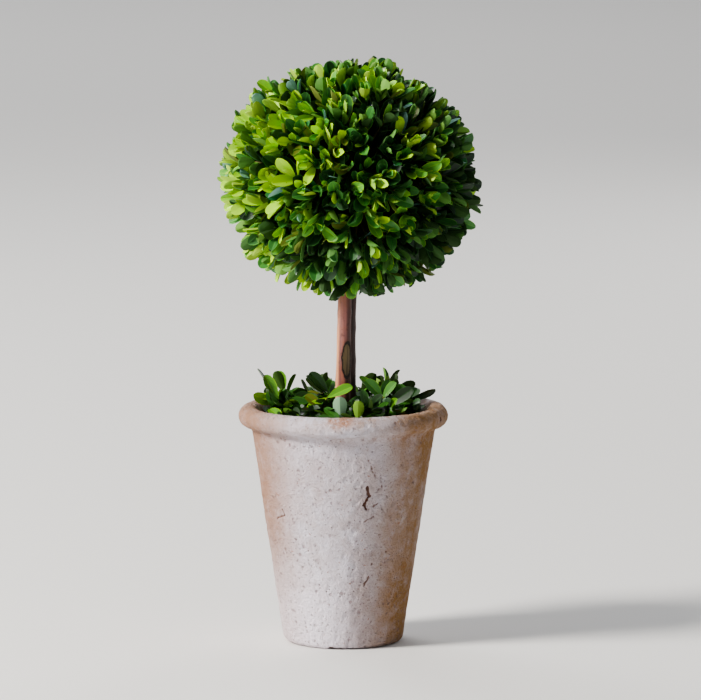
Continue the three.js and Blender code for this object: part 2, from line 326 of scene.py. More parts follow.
# Chips as a start, an end, a half width and a depth: one on the rim and three along the foot
potChips = [
    (Vector((61, -25, 163.2)), Vector((67.5, -26.5, 157.2)), 1.3, 1.3),
    (Vector((-9, -37.5, 0.8)), Vector((-6, -38, 1.2)), 1.7, 0.9),
    (Vector((-3.5, -38.5, 0.6)), Vector((-1.5, -38.5, 1.0)), 1.3, 0.7),
    (Vector((5, -38, 0.5)), Vector((6.5, -38, 0.5)), 1.3, 1.0),
]
damage = {
    "stray": ((0.35, 0.9), (1.1, 0.4)),  # fineness and size of the wander of a crack
    # fineness and size of the change in width, and shares of the half width where the slope starts and ends
    "crack": (0.5, 1.1, 0.2, 1.4),
    "chip": (0.7, 0.6, 0.4, 1.5),
    "hair": (0.17, 0.045),  # fineness and half width, as values of the noise
    "pitDepth": 0.7,
    "reach": (5, 3, 4),  # how far round cracks, pits and chips damage is looked for
    "seed": 1795682478,
}
noise.seed_set(damage["seed"])  # without one, cracks would wander another way in each run


def potRadius(z):
    share = (z - pot["footRounding"]) / (pot["neckHeight"] - pot["footRounding"])
    return between((pot["footRadius"], pot["neckRadius"]), share)


def innerRadius(z):
    neck = pot["neckRadius"] - pot["wall"]
    if z > pot["neckHeight"]:
        share = (z - pot["neckHeight"]) / (pot["rimHeight"] - pot["neckHeight"])
        return between((neck, pot["rimRadius"] - pot["rimHalfWidth"]), share)
    return potRadius(z) - pot["wall"]


def onPotFront(x, z):
    return Vector((x, -math.sqrt(potRadius(z) ** 2 - x * x), z))


def arcPoints(r, z, halfWidth, halfHeight, arc):
    start, end, steps = arc
    angles = [math.radians(between((start, end), i / steps)) for i in range(steps + 1)]
    return [Vector((r + halfWidth * math.cos(a), 0, z + halfHeight * math.sin(a))) for a in angles]


def potProfile():
    rounding = pot["footRounding"]
    footCentre = pot["footRadius"] - rounding
    points = [Vector((0, 0, 0)), Vector((footCentre - pot["footBand"], 0, 0))]
    points += arcPoints(footCentre, rounding, rounding, rounding, pot["footArc"])
    foot, neck = points[-1].copy(), Vector((pot["neckRadius"], 0, pot["neckHeight"]))
    points += [foot.lerp(neck, i / pot["rows"]) for i in range(1, pot["rows"] + 1)]
    rim = [pot[key] for key in ("rimRadius", "rimHeight", "rimHalfWidth", "rimHalfHeight", "rimArc")]
    points += arcPoints(*rim)
    points += [Vector((innerRadius(z), 0, z)) for z in (pot["neckHeight"], pot["floor"])]
    points.append(Vector((0, 0, pot["floor"])))
    return points


def distanceToLine(point, start, end):
    line = end - start
    share = min(max((point - start).dot(line) / line.length_squared, 0), 1)
    return (point - start.lerp(end, share)).length


# Share of the full depth at a distance from the middle of a groove of uneven width
def grooveShare(point, away, halfWidth, kind):
    fineness, size, start, end = damage[kind]
    wide = halfWidth * (1 + size * noise.noise(point * fineness))
    return 1 - smoothStep(away, start * wide, end * wide)


# How deep cracks, pits and chips are dug at a point on the pot
def dugDepth(point):
    strayed = point.copy()
    for fineness, size in damage["stray"]:
        strayed += noise.noise_vector(point * fineness) * size
    depths = [0]
    for crack, halfWidth, deep in potCracks:
        ends = [onPotFront(x, z) for x, z in crack]
        away = min(distanceToLine(strayed, a, b) for a, b in zip(ends, ends[1:]))
        depths.append(deep * grooveShare(point, away, halfWidth, "crack"))
    fineness, halfWidth = damage["hair"]
    hair = 1 - min(abs(noise.noise(strayed * fineness)) / halfWidth, 1)
    for x, z, radius, deep in potCrazing:
        share = (point - onPotFront(x, z)).length / radius
        depths.append(deep * hair * (1 - smoothStep(share, 0.3, 1)))
    for x, z, radius in potPits:
        away = (point - onPotFront(x, z)).length
        depths.append(damage["pitDepth"] * (1 - smoothStep(away, 0.2 * radius, radius)))
    for start, end, halfWidth, deep in potChips:
        away = distanceToLine(point, start, end)
        depths.append(deep * grooveShare(point, away, halfWidth, "chip"))
    return max(depths)


def damagePlaces():
    crackReach, pitReach, chipReach = damage["reach"]
    places = [(onPotFront(x, z), crackReach) for crack, _, _ in potCracks for x, z in crack]
    places += [(onPotFront(x, z), pitReach) for x, z, _ in potPits]
    places += [(onPotFront(x, z), radius) for x, z, radius, _ in potCrazing]
    return places + [(place, chipReach) for start, end, _, _ in potChips for place in (start, end)]


damaged = damagePlaces()


def nearDamage(point):
    return point.y < 0 and any((point - place).length < reach for place, reach in damaged)


def unevenness(point):
    wobble = noise.fractal(point * pot["wobble"][0], 1.0, 2.0, 3) * pot["wobble"][1]
    elsewhere = up * 40  # so that swells and dimples don't follow each other
    swell = noise.noise(point * pot["swells"][0] + elsewhere) * pot["swells"][1]
    dimple = max(noise.noise(point * pot["dimples"][0]) - pot["dimples"][1], 0)
    return wobble + (swell - dimple)


def makePot():
    bm = spun(potProfile(), pot["around"])
    worn = [edge for edge in bm.edges if all(nearDamage(v.co) for v in edge.verts)]
    bmesh.ops.subdivide_edges(bm, edges=worn, cuts=2, use_grid_fill=True)
    bm.normal_update()
    dug = bm.verts.layers.float.new("dug")
    moves = {}
    for vert in bm.verts:
        point = vert.co
        inside = point.z < pot["rimHeight"] and point.to_2d().length < innerRadius(point.z) + 0.5
        if point.z < 0.01 or inside:
            continue
        depth = dugDepth(point) if nearDamage(point) else 0
        vert[dug] = depth
        moves[vert] = vert.normal * (unevenness(point) - depth)
    for vert, move in moves.items():
        vert.co += move
    for vert in bm.verts:
        vert.co.x = max(min(vert.co.x, potHigh.x), potLow.x)
        vert.co.z = max(vert.co.z, 0)
    print("  pot of", sum(len(face.verts) - 2 for face in bm.faces), "triangles")
    return pieceFromBmesh("clayPot", bm, clayMaterial(), "whitewashed_clay", "pot")


# Round pits with ragged edges: a mask of the cells that hold one, up to a share of all cells
def pitsAt(tree, point, scale, radius, share):
    ragged = {"Vector": point, "Scale": scale * 1.6, "Detail": 2.0}
    stray = addNode(tree, "ShaderNodeTexNoise", ragged).outputs["Color"]
    moved = vectorMathOf(tree, "ADD", point, vectorMathOf(tree, "MULTIPLY", stray, (0.5 / scale,) * 3))
    cells = addNode(tree, "ShaderNodeTexVoronoi", {"Vector": moved, "Scale": scale}).outputs
    chosen = rangeOf(tree, cells["Color"], share, share - 0.08)
    return product(tree, chosen, rangeOf(tree, cells["Distance"], radius, 0.5 * radius))


def stainMask(tree, point, dirt):
    centre, half = (-0.002, -0.068, 0.162), (0.011, 0.009, 0.006)
    place = mapped(tree, point, [1 / h for h in half], [-c / h for c, h in zip(centre, half)])
    away = addNode(tree, "ShaderNodeVectorMath", {0: place}, operation="LENGTH").outputs["Value"]
    return product(tree, rangeOf(tree, away, 1.5, 0.4), rangeOf(tree, dirt, 0.34, 0.54))


def clayMaterial():
    material, tree, shader = newMaterial("whitewashedClay", specular=0.3)
    point = objectPoint(tree)
    x, y, z = axesOf(tree, point)
    fine = mottle(tree, point, 75.0, 1350.0)
    broad = mottle(tree, point, 16.0, 640.0)
    dirt = noiseAt(tree, point, 120.0, 6.0, 0.75)
    scuffed = noiseAt(tree, point, 190.0, 6.0, 0.75)
    patchy = noiseAt(tree, mapped(tree, point, (1.0, 1.0, 0.45)), 30.0, 5.0, 0.6)
    clustered = rangeOf(tree, noiseAt(tree, point, 38.0, 2.0, 0.5), 0.42, 0.6, 0.15, 1.0)
    largePits = product(tree, pitsAt(tree, point, 210.0, 0.3, 0.62), clustered)
    smallPits = pitsAt(tree, point, 430.0, 0.32, 0.45)
    rust = rangeOf(tree, noiseAt(tree, point, 330.0, 2.0, 0.5), 0.67, 0.76)
    # across the pot, from -1 at its left edge to 1 at its right
    radiusAtGround = (pot["footRadius"] - pot["footRounding"] * pot["taper"]) / metre
    across = mathOf(tree, "DIVIDE", x, total(tree, product(tree, z, pot["taper"]), radiusAtGround))

    # whitest low on the left, with tan patina on the right that is partly real patina and partly painted
    # shade on the side turned from the light, fainter behind, and pinkish on the left
    foot = product(tree, rangeOf(tree, z, 0.09, 0.015), rangeOf(tree, across, 0.35, -0.45))
    rightPatinaAndShade = total(tree, rangeOf(tree, across, 0.05, 0.92), rangeOf(tree, patchy, 0.25, 0.75, -0.24, 0.24))
    behind = total(tree, y, rangeOf(tree, patchy, 0.3, 0.7, -0.02, 0.02))
    behind = rangeOf(tree, behind, 0.04, 0.0, 0.25, 1.0)
    rightPatinaAndShade = product(tree, rightPatinaAndShade, rangeOf(tree, dirt, 0.25, 0.6, 0.6, 1.0), behind)
    left = product(tree, rangeOf(tree, across, -0.45, -0.98), rangeOf(tree, dirt, 0.2, 0.6, 0.6, 1.0))
    left = product(tree, left, rangeOf(tree, z, 0.01, 0.11, 0.4, 1.0))
    # partly dirt and partly painted shadow of the rim in the groove under it, most of it on the right, and
    # wear on the rim
    grooveDirtAndShade = product(tree, rangeOf(tree, z, 0.144, 0.1487), rangeOf(tree, z, 0.1525, 0.1494))
    grooveDirtAndShade = product(tree, grooveDirtAndShade, rangeOf(tree, x, -0.03, 0.045, 0.3, 1.0), rangeOf(tree, dirt, 0.42, 0.66))
    worn = product(tree, rangeOf(tree, z, 0.151, 0.16), rangeOf(tree, scuffed, 0.46, 0.64))
    worn = product(tree, worn, rangeOf(tree, x, -0.07, 0.06, 0.2, 0.7))
    colour = layered(tree, mixOf(tree, broad["Blotch"], rgb(214, 209, 218), rgb(204, 194, 200)), [
        (fine["Blotch"], 0.5, rgb(190, 174, 174)),
        (foot, 0.9, rgb(240, 232, 240)),
        (rightPatinaAndShade, 0.95, rgb(146, 110, 70)),
        (left, 1.0, rgb(158, 122, 100)),
        (broad["Speck"], 0.25, rgb(160, 142, 144)),
        (largePits, 0.6, rgb(140, 114, 112)),
        (smallPits, 0.5, rgb(142, 120, 118)),
        (rust, 0.55, rgb(150, 92, 58)),
        (grooveDirtAndShade, 0.85, rgb(136, 98, 70)),
        (worn, 1.0, rgb(172, 138, 110)),
        (stainMask(tree, point, dirt), 0.85, rgb(172, 118, 78)),
        (rangeOf(tree, attributeOf(tree, "dug"), 0.1, 0.9), 0.9, rgb(104, 66, 46)),
    ])

    feed(tree, shader.inputs["Roughness"], rangeOf(tree, fine["Grain"], 0.3, 0.7, 0.78, 0.95))
    height = total(tree, product(tree, largePits, -0.9), product(tree, smallPits, -0.6))
    height = total(tree, height, product(tree, fine["Grain"], 0.5))
    height = total(tree, height, product(tree, broad["Grain"], 1.5))
    setSurface(tree, shader, colour, height, 0.95, 0.0013)
    return material


makePot()


print("filling")


def fillingMaterial():
    material, tree, shader = newMaterial("darkFilling", 0.95, 0.2)
    grain = mottle(tree, objectPoint(tree), 120.0, 900.0)["Grain"]
    setSurface(tree, shader, mixOf(tree, grain, rgb(36, 24, 16), rgb(84, 62, 42)), grain, 0.8, 0.001)
    return material


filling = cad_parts["pot_filling"]
filling.data.materials.clear()
filling.data.materials.append(fillingMaterial())


print("stems")
ground = boxOf("stem_front")[0].z
stemLength = boxOf("stem_front")[1].z - ground
# Foot and tip as (x, y), the bow halfway, radii at both ends, and four bark colours: ground, blotches,
# streaks and patches. Pale and dark say where the painted light on the left and the painted shade on the
# right fade in, from the axis.
stems = {
    "stem_front": {
        "foot": (-0.7, -4.6), "tip": (2.8, -3.4), "bow": (-0.3, 0.4), "radii": (5.4, 4.4),
        "bark": (rgb(142, 84, 64), rgb(104, 58, 46), rgb(174, 114, 82), rgb(128, 92, 98)),
        "pale": (-2.7, -4.4), "dark": (0.2, 3.4),
        "swellings": ((27, 0.35), (74, 0.3)),
    },
    "stem_back": {
        "foot": (4.6, 8.4), "tip": (10, 7.2), "bow": (-2.6, -0.5), "radii": (4.7, 4.0),
        # the back stem's bark is about half as bright as the front's: painted shade on the stem that stands
        # behind
        "bark": (rgb(72, 44, 34), rgb(44, 27, 21), rgb(92, 62, 44), rgb(64, 46, 40)),
        "pale": (-20, -30), "dark": (2, 12),
        "swellings": ((40, 0.3), (63, 0.35)),
    },
}
stemMesh = {
    "flare": 1.1,
    "flareHeight": 7,
    "around": 44,
    "rings": 230,
    "inset": 0.2,  # keeps the relief within the solid
    "ridges": (5.5, 0.028, 0, 0.16),  # fineness around and along, shift, size
    "lumps": (1.6, 0.06, 9, 0.22),
    "swellingHalf": 4,
}
scar = {
    "height": 42,
    "halfLength": 13,
    "halfWidth": 4.5,
    "turn": 34,  # degrees to the right of the front
    "bends": ((0, 0.16, 0, 0.7), (3, 0.45, 0, 0.5)),
    "depth": 0.65,
    "hollow": (0.78, 0.98),  # shares of the way from its middle where the slope starts and ends
    "lip": (1.08, 0.16, 0.3),  # share where the lip lies, its width and its height
    "outline": (1.09, 0.12, 0.5),  # share where the dark line ends, its width and its mask
}


def stemCentre(stem, z):
    share = z / stemLength
    bow = math.sin(math.pi * min(max(share, 0), 1))
    x, y = (between((stem["foot"][k], stem["tip"][k]), share) + stem["bow"][k] * bow for k in (0, 1))
    return Vector((x, y, ground + z))


def stemRadius(stem, z):
    flare = stemMesh["flare"] * math.exp(-max(z, 0) / stemMesh["flareHeight"])
    return between(stem["radii"], z / stemLength) + flare


# How far a point is from the skin of the nearer stem
def clearOfStems(point):
    z = point.z - ground
    if z > stemLength:
        return math.inf
    return min((point - stemCentre(stem, z)).length - stemRadius(stem, z) for stem in stems.values())


def barkNoise(around, z, settings):
    fineAround, fineAlong, shift, size = settings
    return size * noise.noise(around * fineAround + up * (z * fineAlong + shift))


# How far the bark stands out at a place, and the mask of the scar there
def stemRelief(stem, angle, z, radius, scarred):
    around = flatWay(angle)
    relief = barkNoise(around, z, stemMesh["ridges"]) + barkNoise(around, z, stemMesh["lumps"])
    for height, size in stem["swellings"]:
        nearness = math.exp(-(((z - height) / stemMesh["swellingHalf"]) ** 2))
        relief += size * nearness * (0.6 + 0.4 * math.cos(2 * angle))
    if not scarred:
        return relief, 0
    turned = (angle - math.radians(scar["turn"] - 90) + math.pi) % fullTurn - math.pi
    bent = sum(barkNoise(around, z, bend) for bend in scar["bends"])
    wide = (turned * radius + bent) / scar["halfWidth"]
    high = (z - scar["height"]) / scar["halfLength"]
    away = math.hypot(wide, high)
    hollow = 1 - smoothStep(away, *scar["hollow"])
    lipAt, lipWidth, lipHeight = scar["lip"]
    lip = math.exp(-(((away - lipAt) / lipWidth) ** 2))
    relief = relief * (1 - hollow) - scar["depth"] * hollow + lipHeight * lip
    lineEnd, lineWidth, lineMask = scar["outline"]
    return relief, max(hollow, lineMask * smoothStep(lineEnd - away, 0, lineWidth))


def makeStem(node):
    stem = stems[node]
    bm = bmesh.new()
    scarMask = bm.verts.layers.float.new("scar")
    bmesh.ops.create_circle(bm, cap_ends=True, radius=1, segments=stemMesh["around"])
    ring = list(bm.edges)
    ringVerts = set(bm.verts)
    centreBefore = Vector()
    for i in range(stemMesh["rings"] + 1):
        z = stemLength * (i / stemMesh["rings"])
        if i > 0:
            made = bmesh.ops.extrude_edge_only(bm, edges=ring)["geom"]
            ringVerts = {part for part in made if isinstance(part, bmesh.types.BMVert)}
            edges = [part for part in made if isinstance(part, bmesh.types.BMEdge)]
            ring = [edge for edge in edges if ringVerts.issuperset(edge.verts)]
        centre = stemCentre(stem, z)
        radius = stemRadius(stem, z)
        for vert in ringVerts:
            away = vert.co - centreBefore
            angle = math.atan2(away.y, away.x)
            relief, mask = stemRelief(stem, angle, z, radius, node == "stem_front")
            reach = radius - stemMesh["inset"] + relief
            vert.co = centre + flatWay(angle) * reach
            vert[scarMask] = mask
        centreBefore = centre
    bmesh.ops.contextual_create(bm, geom=ring)
    bmesh.ops.recalc_face_normals(bm, faces=bm.faces)
    return pieceFromBmesh(node + "_bark", bm, barkMaterial(node, stem), "bark", node)


def barkMaterial(name, stem):
    bark, blotches, streakColour, patchColour = stem["bark"]
    material, tree, shader = newMaterial(name + "_bark")
    point = objectPoint(tree)
    stretched = mapped(tree, point, (1.0, 1.0, 0.06))
    streaks = mottle(tree, stretched, 420.0, 2400.0)
    wideStreaks = rangeOf(tree, noiseAt(tree, stretched, 230.0, 2.0, 0.5), 0.42, 0.6)
    patches = mottle(tree, point, 70.0, 600.0)
    # paler with painted light down the left side and darker with painted shade down the right, across the
    # leaning stem
    x, _, z = axesOf(tree, point)
    lean = (stem["tip"][0] - stem["foot"][0]) / stemLength
    across = mathOf(tree, "SUBTRACT", x, product(tree, z, lean))
    middle = (stem["foot"][0] - lean * ground) / metre
    pale, dark = ([middle + side / metre for side in stem[key]] for key in ("pale", "dark"))
    streaky = rangeOf(tree, noiseAt(tree, stretched, 300.0, 3.0, 0.6), 0.38, 0.64, 0.2, 0.95)
    mask = attributeOf(tree, "scar")
    scarFace = mixOf(tree, streaks["Blotch"], rgb(88, 70, 44), rgb(134, 112, 74))
    colour = layered(tree, mixOf(tree, streaks["Blotch"], bark, blotches), [
        (wideStreaks, 0.6, streakColour),
        (patches["Blotch"], 0.4, patchColour),
        (patches["Speck"], 0.5, rgb(64, 40, 34)),
        # painted highlight on the left and painted shade on the right
        (rangeOf(tree, across, *pale), streaky, rgb(208, 148, 108)),
        (rangeOf(tree, across, *dark), 0.75, rgb(66, 38, 30)),
        (rangeOf(tree, mask, 0.2, 0.45), 1.0, rgb(40, 28, 18)),
        (rangeOf(tree, mask, 0.6, 0.95), 1.0, scarFace),
    ])
    feed(tree, shader.inputs["Roughness"], rangeOf(tree, streaks["Grain"], 0.3, 0.7, 0.38, 0.62))
    height = total(tree, streaks["Grain"], product(tree, patches["Grain"], 0.6))
    setSurface(tree, shader, colour, height, 0.5, 0.0005)
    return material


for node in stems:
    makeStem(node)


print("leaf colours")
# Upper face and underside of each tone, from dark to light, and two rare ones
leafTones = [
    ("deepGreen", rgb(27, 54, 26), rgb(54, 80, 42)),
    ("bottleGreen", rgb(40, 79, 38), rgb(70, 104, 56)),
    ("boxGreen", rgb(56, 106, 50), rgb(86, 127, 66)),
    ("grassGreen", rgb(73, 134, 60), rgb(94, 140, 68)),
    ("springGreen", rgb(99, 161, 64), rgb(116, 160, 74)),
    ("limeGreen", rgb(132, 190, 54), rgb(138, 180, 68)),
    ("paleLime", rgb(168, 212, 54), rgb(162, 196, 74)),
    ("olive", rgb(94, 106, 40), rgb(112, 126, 60)),
    # blueGreen's pale bluish underside is partly a pale leaf back and partly a painted reflection of a bluish
    # sky
    ("blueGreen", rgb(54, 114, 64), rgb(138, 180, 172)),
]
toneNames = [tone[0] for tone in leafTones]
lightest = toneNames.index("paleLime")
rareTones = (("olive", 0.06), ("blueGreen", 0.09))  # each with the draw that it is taken up to
toneSwing = 0.76
leafShine = (0.36, 0.42)  # roughness and specular
undersideShine = (0.6, 0.2)


def leafMaterials(prefix, tint):
    made = []
    for name, face, under in leafTones:
        for side, colour, shine in (("", face, leafShine), ("Under", under, undersideShine)):
            tinted = [c * share for c, share in zip(colour, tint)]
            made.append(plainMaterial(prefix + name + side, tinted, *shine))
    return made


ballLeafKinds = leafMaterials("ball_", (1.0, 1.0, 1.0, 1.0))
# the pot's leaves are darker and duller than the ball's, partly their own colour and partly painted shade
# under the ball
potLeafKinds = leafMaterials("pot_", (0.9, 0.82, 0.56, 1.0))  # duller than the ball's

# Outline of a leaf: shares of its length, and its width there as a share of the widest
leafShape = {
    "along": (0.0, 0.12, 0.3, 0.52, 0.74, 0.9, 0.975),
    "wide": (0.12, 0.34, 0.7, 0.95, 0.97, 0.71, 0.38),
    "across": (-1, -0.89, -0.45, -0.06, 0.06, 0.45, 0.89, 1),
    "acrossUnder": (0.6, 0, -0.6),
    "thick": 0.35,
    "cupPower": 1.15,
    "sharp": 15,  # degrees past which a crease such as the midrib stays crisp
    "roll": 1.4,  # radians from side to side
    "cup": (0.1, 0.65),  # how far the sides rise, as a share of the half width
    "curl": (-0.14, 0.12),  # how far the tip rises, as a share of the length
    "cut": 0.93,  # a leaf that doesn't fit is cut back by this step
    "shortest": 0.6,  # until it is down to this share of its length
}


# The thin margin and the midrib are paler than the leaf, by this many tones; the paler margin is partly its
# own colour and partly a painted highlight on its curved edge
def palerTone(tone, steps):
    if tone > lightest:
        return toneNames.index("grassGreen") if steps else tone
    return min(tone + steps, lightest)


def toneFor(level, draw):
    chance = draw()
    for name, highest in rareTones:
        if chance < highest:
            return toneNames.index(name)
    level = level + swung(draw, toneSwing)
    return int(min(max(level, 0), 0.999) * (lightest + 1))


# Faces of one leaf and the side each is on: 0 is the upper side, 1 the underside, 2 the margin, 3 the midrib
def leafFaces():
    rings = len(leafShape["along"])
    upper = len(leafShape["across"])
    perRing = upper + len(leafShape["acrossUnder"])
    special = {0: 2, upper - 2: 2, upper // 2 - 1: 3}
    tip = (rings * perRing,)
    faces = []
    sides = []
    for i in range(rings):
        for j in range(perRing):
            following = (j + 1) % perRing
            here = (i * perRing + j, i * perRing + following)
            ahead = ((i + 1) * perRing + following, (i + 1) * perRing + j)
            faces.append(here + (ahead if i < rings - 1 else tip))
            sides.append(special.get(j, 0 if j < upper - 1 else 1))
    faces.append(tuple(reversed(range(perRing))))
    sides.append(0)
    return faces, sides


ballMass = ("ball_leaves", "ball_foliage")
potMass = ("pot_leaves", "pot_sprigs")


# Joins leaves into one mesh. A leaf is a ring of points at each place along it, and a point at its tip.
def leafPiece(name, leaves, materials, slot, node, marginSteps=2, midribSteps=1):
    count = len(leaves)
    stack = lambda key: np.array([leaf[key] for leaf in leaves], float)
    root, direction, face = (stack(key).reshape(count, 1, 3) for key in ("root", "direction", "face"))
    across = np.cross(direction, face)
    length, width, cup, curl = (stack(key).reshape(count, 1) for key in ("length", "width", "cup", "curl"))

    rings = len(leafShape["along"])
    ringAcross = np.array(leafShape["across"] + leafShape["acrossUnder"], float)
    under = np.array([0] * len(leafShape["across"]) + [1] * len(leafShape["acrossUnder"]), float)
    along = np.append(np.repeat(leafShape["along"], len(ringAcross)), 1.0)
    wide = np.append(np.repeat(leafShape["wide"], len(ringAcross)), 0.0)
    aside = np.append(np.tile(ringAcross, rings), 0.0)
    below = np.append(np.tile(under, rings), 0.5)

    raised = cup * width / 2 * wide * np.abs(aside) ** leafShape["cupPower"] + curl * length * along**2
    raised = raised - below * leafShape["thick"]
    points = root + direction * (length * along)[..., None] + across * (width / 2 * wide * aside)[..., None]
    points = (points + face * raised[..., None]) / metre

    oneLeaf, sides = leafFaces()
    perLeaf = len(along)
    faces = [tuple(v + k * perLeaf for v in corners) for k in range(count) for corners in oneLeaf]
    tones = [leaf["tone"] for leaf in leaves]
    # an upper side has an even material number and its underside the next one
    bySide = [
        [2 * tone for tone in tones],
        [2 * tone + 1 for tone in tones],
        [2 * palerTone(tone, marginSteps) for tone in tones],
        [2 * palerTone(tone, midribSteps) for tone in tones],
    ]
    kinds = np.array(bySide)[sides].T.ravel()

    mesh = bpy.data.meshes.new(name)
    mesh.from_pydata(points.reshape(-1, 3).tolist(), [], faces)
    register(mesh, materials, node)
    mesh.polygons.foreach_set("material_index", kinds.astype(np.int32))
    mesh.set_sharp_from_angle(angle=math.radians(leafShape["sharp"]))


# Joins tapering twigs into one mesh. A twig is a list of points with the radius at each.
def twigPiece(name, twigs, slot, node):
    sides = 6
    points = []
    faces = []
    for twig in twigs:
        first = len(points)
        for k, (place, radius) in enumerate(twig):
            nextPlace = twig[min(k + 1, len(twig) - 1)][0]
            lastPlace = twig[max(k - 1, 0)][0]
            turn = (nextPlace - lastPlace).to_track_quat("Z", "Y")
            for j in range(sides):
                angle = j * fullTurn / sides
                points.append((place + turn @ flatWay(angle) * radius) / metre)
        for k in range(len(twig) - 1):
            for j in range(sides):
                here = first + k * sides
                following = (j + 1) % sides
                faces.append((here + j, here + following, here + sides + following, here + sides + j))
        faces.append(tuple(reversed(range(first, first + sides))))
        faces.append(tuple(range(len(points) - sides, len(points))))
    mesh = bpy.data.meshes.new(name)
    mesh.from_pydata(points, [], faces)
    register(mesh, [twigBrown], node)


twigBrown = plainMaterial("twigBrown", rgb(84, 76, 36), 0.6)


# A leaf that would leave its mass is cut back, and left out if it still would
def fittedLeaf(root, direction, axis, length, width, tone, fits, draw):
    shortest = leafShape["shortest"] * length
    while length > shortest and not fits(root, direction, length):
        length *= leafShape["cut"]
    if not fits(root, direction, length):
        return []
    across = direction.cross(axis).normalized()
    face = across.cross(direction)
    roll = Matrix.Rotation(swung(draw, leafShape["roll"]), 3, direction)
    return [{
        "root": root, "direction": direction, "face": roll @ face, "length": length, "width": width,
        "cup": between(leafShape["cup"], draw()), "curl": between(leafShape["curl"], draw()), "tone": tone,
    }]


# Pairs of leaves up a sprig, each turned a quarter from the one below
def pairedLeaves(mass, base, end, along, level, fits, draw):
    leaves = []
    pairTurn = draw() * math.pi
    for share, spread, lighter in mass["pairs"]:
        pairTurn += quarterTurn
        for side in (0, math.pi):
            tilt = math.radians(spread + swung(draw, mass["spreadSwing"]))
            way = leaning(along, tilt, pairTurn + side + swung(draw, 0.5))
            root = base.lerp(end, share) + way * mass["stalk"]
            length = between(mass["length"], draw()) * (mass["endLeaves"] if share == 1 else 1)
            width = length * between(mass["width"], draw())
            tone = toneFor(level + lighter, draw)
            leaves += fittedLeaf(root, way, along, length, width, tone, fits, draw)
    return leaves


print("ball")
ballLow, ballHigh = boxOf("ball_foliage")
ball = {
    "centre": (ballLow + ballHigh) / 2,
    "reach": (ballHigh - ballLow) / 2,
    "boughs": 84,
    "stray": 0.16,
    "forkShare": 0.45,
    "boughShare": 0.55,
    "boughMiddle": 0.6,
    "boughRadii": (1.5, 1.3, 1.1),
    "coreShare": 0.6,
    "coreRough": (7, 0.05),  # fineness and size
    "sprigs": 6,
    "fan": 8.0,  # degrees from a bough to its sprigs
    "fanShare": (0.75, 1.25),
    "fanSwing": 0.7,
    "sprigShare": (0.76, 0.89),
    "sprigBend": (1.2, 6.28),  # millimetres, and radians round the sprig
    "sprigRadii": (0.9, 0.75, 0.45),
    "sprigRoom": 6,
    # leaf pairs up the sprig: share of its length, degrees of spread and how much lighter they are; the inner
    # pairs are darker as painted shade deep in the ball
    "pairs": ((0.6, 38, -0.42), (0.82, 28, -0.08), (1.0, 13, 0.19)),
    "spreadSwing": 22,
    "stalk": 0.3,
    "length": (14, 24),
    "endLeaves": 0.85,  # the pair at the tip is shorter
    "width": (0.33, 0.5),
    "stemRoom": 2.9,
    "fullest": 1.0,  # how far the clipping goes out where it is fullest, as a share of the reach
    "uneven": 0.08,
    "proud": 0.05,  # how far leaf tips may pass the clipping
    "strays": 0.05,  # this share of the sprigs sticks out
    "strayReach": 0.05,
    # how light leaves are, from 0 to 1, and how much patches, chance and the side towards the key light
    # change it; that side is lighter partly from young growth and partly as painted light
    "level": 0.42,
    "patches": 0.6,
    "levelSwing": 0.4,
    "sunGrowthAndPaintedLight": 0.44,
    "sunGrowthAndPaintedLightWay": Vector((-0.8, -0.2, 0.3)),
}


def ballDirection(i, draw):
    height = 1 - 2 * (i + 0.5) / ball["boughs"]
    around = i * goldenAngle
    ring = math.sqrt(1 - height * height)
    even = Vector((ring * math.cos(around), ring * math.sin(around), height))
    stray = Vector((draw() - 0.5, draw() - 0.5, draw() - 0.5))
    return (even + stray * ball["stray"]).normalized()


def atShare(direction, share):
    return ball["centre"] + direction * ball["reach"] * share


# The clipping is a little uneven: how far out it goes in a direction, as a share of the full reach
def clippedReach(direction):
    lowered = 0.5 + noise.noise(direction * 2.4 + Vector((2, 0, 13)))
    return ball["fullest"] - ball["uneven"] * lowered


def inBall(point):
    away = point - ball["centre"]
    shares = Vector((away[k] / ball["reach"][k] for k in range(3)))
    return shares.length <= clippedReach(away.normalized()) + ball["proud"]


def fitsBall(root, direction, length):
    points = [root + direction * (length * share) for share in (0.4, 0.7, 1.0)]
    return all(inBall(p) and clearOfStems(p) > ball["stemRoom"] for p in points)


def ballLevel(direction, draw):
    patch = ball["patches"] * noise.noise(direction * 2.3 + Vector((12, 1, 5)))
    level = ball["level"] + patch + swung(draw, ball["levelSwing"])
    # lighter leaves on the upper left, partly young growth and partly painted light from the key light's side
    return level + ball["sunGrowthAndPaintedLight"] * direction.dot(ball["sunGrowthAndPaintedLightWay"])


